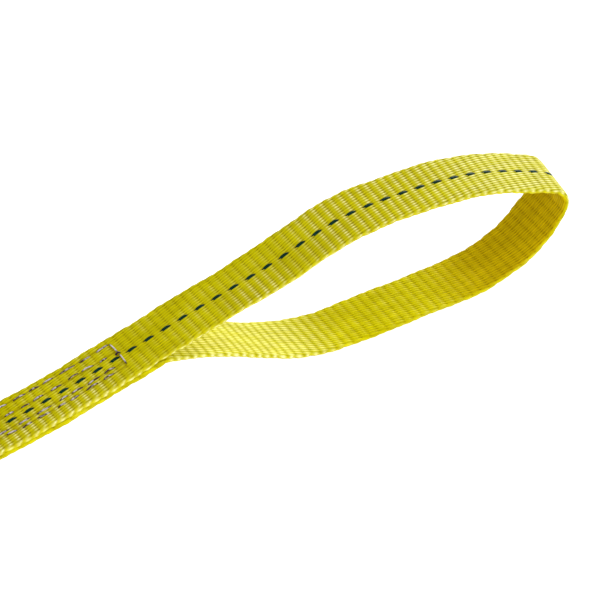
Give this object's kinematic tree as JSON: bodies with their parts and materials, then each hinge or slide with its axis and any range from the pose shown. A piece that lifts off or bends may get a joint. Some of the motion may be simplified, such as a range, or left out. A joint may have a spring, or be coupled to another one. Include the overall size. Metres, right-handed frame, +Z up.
{
  "type": "eye-and-eye webbing sling",
  "caption": "flat polyester webbing lifting sling, 25 mm wide, with a soft sewn eye at each end and a green tracer yarn along its outer face",
  "frame": {"origin": "centre of the sling on the surface it lies on, midway between the two eyes", "axes": "+X along the sling towards eye A, +Y across the webbing, +Z up, from the table through the thickness of the webbing"},
  "size_m": [0.8814, 0.0254, 0.06],
  "materials": {
    "webbing": "woven yellow polyester webbing, ribbed plain weave with a slight sheen",
    "tracer": "dark green polyester yarn woven in as a dashed line",
    "thread": "pale lilac-grey bonded polyester sewing thread",
    "label": "blank white woven label film"
  },
  "bodies": {
    "middle": {"webbing_middle": "webbing", "tracer_middle": "tracer", "label_sewn_end": "label", "label_thread": "thread"},
    "label": {"label_flap": "label"},
    "splice_a": {"webbing_splice_a": "webbing", "tracer_splice_a": "tracer", "webbing_tail_a": "webbing", "tracer_tail_a": "tracer", "top_thread_a": "thread", "bobbin_thread_a": "thread"},
    "eye_a_base": {"webbing_eye_a_root": "webbing", "tracer_eye_a_root": "tracer", "webbing_eye_a_lower_leg": "webbing", "tracer_eye_a_lower_leg": "tracer"},
    "eye_a_upper_leg": {"webbing_eye_a_upper_leg": "webbing", "tracer_eye_a_upper_leg": "tracer"},
    "eye_a_upper_crown": {"webbing_eye_a_upper_crown": "webbing", "tracer_eye_a_upper_crown": "tracer"},
    "eye_a_lower_crown": {"webbing_eye_a_lower_crown": "webbing", "tracer_eye_a_lower_crown": "tracer"},
    "splice_b": {"webbing_splice_b": "webbing", "tracer_splice_b": "tracer", "webbing_tail_b": "webbing", "tracer_tail_b": "tracer", "top_thread_b": "thread", "bobbin_thread_b": "thread"},
    "eye_b_base": {"webbing_eye_b_root": "webbing", "tracer_eye_b_root": "tracer", "webbing_eye_b_lower_leg": "webbing", "tracer_eye_b_lower_leg": "tracer"},
    "eye_b_upper_leg": {"webbing_eye_b_upper_leg": "webbing", "tracer_eye_b_upper_leg": "tracer"},
    "eye_b_upper_crown": {"webbing_eye_b_upper_crown": "webbing", "tracer_eye_b_upper_crown": "tracer"},
    "eye_b_lower_crown": {"webbing_eye_b_lower_crown": "webbing", "tracer_eye_b_lower_crown": "tracer"}
  },
  "joints": [
    {"name": "label_lift", "type": "hinge", "parent": "middle", "child": "label", "pos_m": [0.026, 0, 0.0035], "axis": [0, 1, 0], "range_deg": [0, 120]},
    {"name": "fold_a", "type": "hinge", "parent": "middle", "child": "splice_a", "pos_m": [0.06869, 0, 0.00654], "axis": [0, 1, 0], "range_deg": [-120, 0]},
    {"name": "eye_a_swing", "type": "hinge", "parent": "splice_a", "child": "eye_a_base", "pos_m": [0.24023, 0, 0.03359], "axis": [0, 1, 0], "range_deg": [-90, 0]},
    {"name": "eye_a_opening", "type": "hinge", "parent": "eye_a_base", "child": "eye_a_upper_leg", "pos_m": [0.25799, 0, 0.03675], "axis": [0, 1, 0], "range_deg": [-25, 0]},
    {"name": "eye_a_upper_knee", "type": "hinge", "parent": "eye_a_upper_leg", "child": "eye_a_upper_crown", "pos_m": [0.32945, 0, 0.05579], "axis": [0, 1, 0], "range_deg": [0, 29]},
    {"name": "eye_a_lower_knee", "type": "hinge", "parent": "eye_a_base", "child": "eye_a_lower_crown", "pos_m": [0.37855, 0, 0.00123], "axis": [0, 1, 0], "range_deg": [-24, 0]},
    {"name": "fold_b", "type": "hinge", "parent": "middle", "child": "splice_b", "pos_m": [-0.06869, 0, 0.00654], "axis": [0, 1, 0], "range_deg": [0, 120]},
    {"name": "eye_b_swing", "type": "hinge", "parent": "splice_b", "child": "eye_b_base", "pos_m": [-0.24023, 0, 0.03359], "axis": [0, 1, 0], "range_deg": [0, 90]},
    {"name": "eye_b_opening", "type": "hinge", "parent": "eye_b_base", "child": "eye_b_upper_leg", "pos_m": [-0.25799, 0, 0.03675], "axis": [0, 1, 0], "range_deg": [0, 25]},
    {"name": "eye_b_upper_knee", "type": "hinge", "parent": "eye_b_upper_leg", "child": "eye_b_upper_crown", "pos_m": [-0.32945, 0, 0.05579], "axis": [0, 1, 0], "range_deg": [-29, 0]},
    {"name": "eye_b_lower_knee", "type": "hinge", "parent": "eye_b_base", "child": "eye_b_lower_crown", "pos_m": [-0.37855, 0, 0.00123], "axis": [0, 1, 0], "range_deg": [0, 24]}
  ],
  "couplings": [
    {"joint": "eye_a_upper_knee", "follows": "eye_a_opening", "ratio": -1.13},
    {"joint": "eye_a_lower_knee", "follows": "eye_a_opening", "ratio": 0.955},
    {"joint": "eye_b_upper_knee", "follows": "eye_b_opening", "ratio": -1.13},
    {"joint": "eye_b_lower_knee", "follows": "eye_b_opening", "ratio": 0.955}
  ]
}
